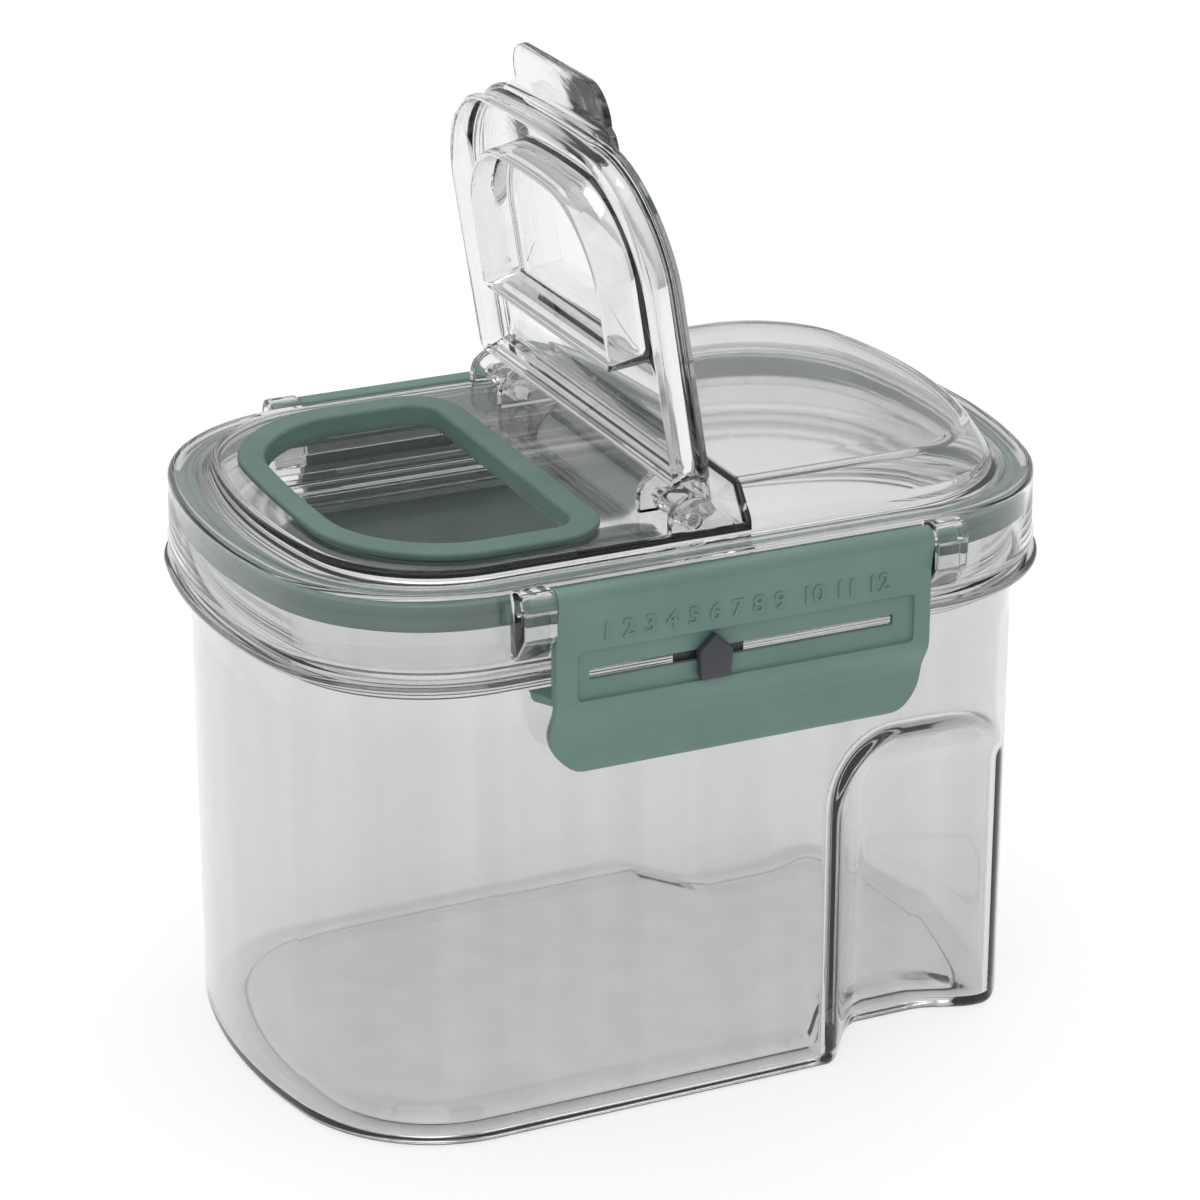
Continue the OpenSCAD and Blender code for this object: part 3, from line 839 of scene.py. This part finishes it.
def latch_hook():
    """Hook that catches under the flange, a little wider at its inner edge."""
    outline = [(LATCH_IN - 0.4, HOOK_Z0), (LATCH_IN - 0.4, HOOK_Z1 - 2.8), (HOOK_Y + 0.6, HOOK_Z1 - 2.2),
               (HOOK_Y, HOOK_Z1 - 2.8), (HOOK_Y, HOOK_Z0 + 0.6), (HOOK_Y - 0.8, HOOK_Z0)]
    x0, x1, side = LATCH_X0, LATCH_X1, HOOK_SIDE
    plan = [(x0 + 0.2, LATCH_IN - 1), (x0 + 0.2, LATCH_IN), (x0 - side, HOOK_Y + 1)]
    plan += [(x1 + side, HOOK_Y + 1), (x1 - 0.2, LATCH_IN), (x1 - 0.2, LATCH_IN - 1)]
    hook = prism("hook", outline, x0 - side, x1 + side, "x")
    hook = combine(hook, prism("hook_plan", plan, HOOK_Z0 - 1, HOOK_Z1 + 1), "INTERSECT", 30)
    return soften(hook, 0.25, 2, 30)


def block(x0, x1, y0, y1, z0, z1, round_r=0.0, n=8):
    """A block whose face in X and Z has round corners."""
    if round_r <= 0:
        return prism("block", [(x0, z0), (x1, z0), (x1, z1), (x0, z1)], y0, y1, "y")
    r = round_r
    outline = arc(x1 - r, z1 - r, r, 0, 90, n) + arc(x0 + r, z1 - r, r, 90, 180, n)
    outline += arc(x0 + r, z0 + r, r, 180, 270, n) + arc(x1 - r, z0 + r, r, 270, 360, n)
    return prism("block", outline, y0, y1, "y")


def latch_body(name):
    """A latch in one piece: plate, panel, slot, pocket, hook and pins."""
    body = prism(name, latch_section(), LATCH_X0 - 1, LATCH_X1 + 1, "x")
    combine(body, prism("face", latch_outline(), -75, -50, "y"), "INTERSECT", 30)
    x0, x1, z0, z1 = PANEL
    combine(body, block(x0, x1, LATCH_OUT - 2, LATCH_OUT + PANEL_CUT, z0, z1, 1.0), "DIFFERENCE", 30)
    half = SLOT_H / 2
    slot = block(SLOT_X0, SLOT_X1, LATCH_OUT - 2, -50, SLOT_Z - half, SLOT_Z + half, 0.3, 3)
    combine(body, slot, "DIFFERENCE", 30)
    pocket = block(SLOT_X0 - 6, SLOT_X1 + 6, LATCH_IN - POCKET_CUT, -50, SLOT_Z - 4, SLOT_Z + 4)
    combine(body, pocket, "DIFFERENCE", 30)
    soften(body, 0.32, 3, 28)
    combine(body, latch_hook(), "UNION")
    reach = LUG_GAP + PIN_REACH
    circle = arc(clamp_y, clamp_z, PIN_R, 0, 350, 36)
    pin = soften(prism("pin", circle, LATCH_X0 - reach, LATCH_X1 + reach, "x"), 0.3, 2, 50)
    return combine(body, pin, "UNION", 45)


def month_numbers(name):
    """Raised numbers 1 to 12 in a row over the slot, the last three set wider."""
    meshes = []
    for month in range(1, 13):
        text = bpy.data.curves.new("number", "FONT")
        text.body = str(month)
        text.size = DIGIT_SIZE * MM
        text.extrude = 0.2 * MM
        text.bevel_depth = 0.07 * MM
        text.bevel_resolution = 1
        text.align_x = "CENTER"
        text.align_y = "CENTER"
        temp = bpy.data.objects.new("number", text)
        bpy.context.scene.collection.objects.link(temp)
        x = DIGIT_X0 + DIGIT_STEP * (month - 1) + (WIDE_STEP * (month - 9) if month > 9 else 0)
        temp.location = Vector((x, LATCH_OUT - 0.02, DIGIT_Z)) * MM
        temp.rotation_euler = (math.pi / 2, 0, 0)
        bpy.context.view_layer.update()
        graph = bpy.context.evaluated_depsgraph_get()
        mesh = bpy.data.meshes.new_from_object(temp.evaluated_get(graph), depsgraph=graph)
        mesh.transform(temp.matrix_world)
        meshes.append(mesh)
        bpy.data.objects.remove(temp, do_unlink=True)
    bm = bmesh.new()
    for mesh in meshes:
        bm.from_mesh(mesh)
    joined = bpy.data.meshes.new(name)
    bm.to_mesh(joined)
    bm.free()
    obj = bpy.data.objects.new(name, joined)
    bpy.context.scene.collection.objects.link(obj)
    tidy_mesh(obj, 40)
    return obj


def marker_knob(name):
    """The five-sided pointer, with the neck that goes through the slot."""
    face = LATCH_OUT + PANEL_CUT - MARKER_GAP
    outline = [(-3.2, -4.7), (3.2, -4.7), (3.7, 1.2), (0, 4.7), (-3.7, 1.2)]
    knob = prism(name, [(MARKER_X + x, SLOT_Z + z) for x, z in outline], face - KNOB_T, face, "y")
    soften(knob, 0.6, 3, 20)
    half = SLOT_H / 2 - SLOT_PLAY
    neck = block(MARKER_X - NECK_HW, MARKER_X + NECK_HW, face - 0.5, LATCH_IN - POCKET_CUT + MARKER_GAP,
                 SLOT_Z - half, SLOT_Z + half)
    return combine(knob, neck, "UNION", 45)


def marker_keeper():
    """The plate behind the slot that holds the pointer."""
    y0 = LATCH_IN - POCKET_CUT + MARKER_GAP
    keeper = block(MARKER_X - KEEPER_HW, MARKER_X + KEEPER_HW, y0, y0 + KEEPER_T,
                   SLOT_Z - KEEPER_HH, SLOT_Z + KEEPER_HH, 1.0)
    return soften(keeper, 0.12, 2, 40)


def latch_set(side, turn):
    """A latch with its pointer, keeper and numbers, turned to its side of the lid."""
    pieces = (
        (latch_body(side + "_clamp_latch"), GREEN, side + "_clamp", "green_plastic", side + "_latch"),
        (marker_knob(side + "_pointer"), DARK, side + "_marker", "dark_plastic", side + "_marker_knob"),
        (marker_keeper(), DARK, side + "_marker", "dark_plastic", side + "_marker_keeper"),
    )
    for obj, material, body, slot, node in pieces:
        transform(obj, turn)
        place(obj, material, body, slot, node)
    numbers = transform(month_numbers(side + "_month_numbers"), turn)
    place(numbers, GREEN, side + "_clamp", "green_plastic")


latch_set("front", Matrix.Identity(4))
latch_set("back", Matrix.Rotation(math.pi, 4, "Z"))


# ---------------------------------------------------------------- stage, light and camera

FLOOR_HALF, FLOOR_DROP = 3000, -0.05
LAMPS = (("key", (-0.7, -0.8, 1.1), 0.9, 3.0), ("top", (0.1, 0.2, 1.3), 0.9, 3.5))
CAMERA_TURN, CAMERA_TILT = -24.74, 22.12
CAMERA_AWAY = 0.8847
CAMERA_TARGET = (-0.00025, 0, 0.09005)
CAMERA_LENS = 127.13
LIGHT_BOUNCES = 24


def look_at(obj, target):
    """Turns a lamp or camera to face a place."""
    direction = Vector(target) - obj.location
    obj.rotation_euler = direction.to_track_quat("-Z", "Y").to_euler()


def studio():
    """Floor, sky and lamps."""
    signs = ((-1, -1), (1, -1), (1, 1), (-1, 1))
    corners = [(u * FLOOR_HALF, v * FLOOR_HALF, FLOOR_DROP) for u, v in signs]
    floor = new_object("floor", corners, [(0, 1, 2, 3)])
    mat, nodes, links, shader, output = node_material("pale floor")
    coords = nodes.new("ShaderNodeTexCoord")
    cloud = noise(nodes, links, 3, 2, coords)
    mix = nodes.new("ShaderNodeMix")
    mix.data_type = "RGBA"
    mix.inputs["A"].default_value = (0.52, 0.52, 0.52, 1)
    mix.inputs["B"].default_value = (0.55, 0.55, 0.55, 1)
    links.new(cloud.outputs["Fac"], mix.inputs["Factor"])
    links.new(mix.outputs["Result"], shader.inputs["Base Color"])
    shader.inputs["Roughness"].default_value = 0.9
    shader.inputs["Specular IOR Level"].default_value = 0.1
    shader.inputs["Emission Color"].default_value = (1, 1, 1, 1)
    shader.inputs["Emission Strength"].default_value = 0.5
    floor.data.materials.append(mat)

    world = bpy.data.worlds.new("studio")
    bpy.context.scene.world = world
    world.use_nodes = True
    tree = world.node_tree
    sky = tree.nodes["Background"]
    direction = tree.nodes.new("ShaderNodeTexCoord")
    split = tree.nodes.new("ShaderNodeSeparateXYZ")
    ramp = tree.nodes.new("ShaderNodeValToRGB")
    ramp.color_ramp.elements[0].position = 0.0
    ramp.color_ramp.elements[0].color = (0.52, 0.525, 0.53, 1)
    ramp.color_ramp.elements[1].position = 0.8
    ramp.color_ramp.elements[1].color = (1.0, 1.0, 1.0, 1)
    tree.links.new(direction.outputs["Generated"], split.inputs["Vector"])
    tree.links.new(split.outputs["Z"], ramp.inputs["Fac"])
    tree.links.new(ramp.outputs["Color"], sky.inputs["Color"])
    sky.inputs["Strength"].default_value = 0.9

    for name, place_m, size, power in LAMPS:
        lamp = bpy.data.lights.new(name, "AREA")
        lamp.shape = "SQUARE"
        lamp.size = size
        lamp.energy = power
        obj = bpy.data.objects.new(name, lamp)
        obj.location = place_m
        bpy.context.scene.collection.objects.link(obj)
        look_at(obj, (0, 0, 0.09))


def camera():
    """A long lens from the front, to the left and above."""
    azimuth, elevation = math.radians(CAMERA_TURN), math.radians(CAMERA_TILT)
    target = Vector(CAMERA_TARGET)
    back = Vector((math.sin(azimuth) * math.cos(elevation), -math.cos(azimuth) * math.cos(elevation),
                   math.sin(elevation)))
    data = bpy.data.cameras.new("camera")
    data.sensor_width = 36
    data.lens = CAMERA_LENS
    obj = bpy.data.objects.new("camera", data)
    obj.location = target + back * CAMERA_AWAY
    bpy.context.scene.collection.objects.link(obj)
    look_at(obj, target)
    bpy.context.scene.camera = obj


studio()
camera()
scene = bpy.context.scene
scene.view_settings.view_transform = "Standard"
scene.cycles.max_bounces = LIGHT_BOUNCES
scene.cycles.transmission_bounces = LIGHT_BOUNCES
scene.cycles.transparent_max_bounces = LIGHT_BOUNCES
scene.cycles.glossy_bounces = 8
